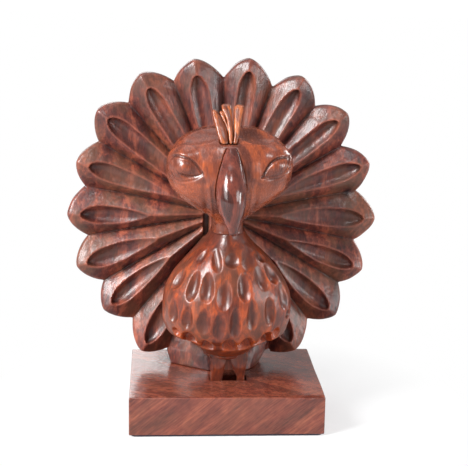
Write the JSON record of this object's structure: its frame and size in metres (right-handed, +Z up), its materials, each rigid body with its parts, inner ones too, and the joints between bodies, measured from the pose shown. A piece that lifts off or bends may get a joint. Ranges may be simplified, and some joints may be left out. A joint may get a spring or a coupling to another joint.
{
  "type": "eyeglasses display stand",
  "caption": "Carved wooden bird with a fanned scalloped tail on a rectangular base; glasses hang over the beak with folded temples in the slot behind the head.",
  "frame": {"origin": "centre of the underside, on the table, midway along the base's width and depth", "axes": "+X to the viewer's right, +Y back from the beak towards the tail fan, +Z up"},
  "size_m": [0.139, 0.0714, 0.1591],
  "materials": {
    "base_wood": "polished rosewood, satin gloss, dark diagonal grain",
    "base_felt": "dark felt",
    "screw_steel": "yellow zinc plated",
    "fan_wood": "polished rosewood, satin gloss, dark reddish brown",
    "figure_wood": "polished rosewood, satin gloss, orange brown",
    "beak_wood": "polished rosewood, high gloss, dark brown",
    "crest_wood": "polished rosewood, light orange brown",
    "dowel_wood": "plain turned beech"
  },
  "bodies": {
    "root": {"base_block": "base_wood", "base_felt": "base_felt", "base_screw_left": "screw_steel", "base_screw_right": "screw_steel", "tail_fan": "fan_wood", "breast_and_legs": "figure_wood", "head_and_neck": "figure_wood", "beak": "beak_wood", "crest_feather_left": "crest_wood", "crest_feather_centre": "crest_wood", "crest_feather_right": "crest_wood", "breast_dowel_lower": "dowel_wood", "breast_dowel_upper": "dowel_wood", "neck_dowel": "dowel_wood"}
  },
  "joints": []
}
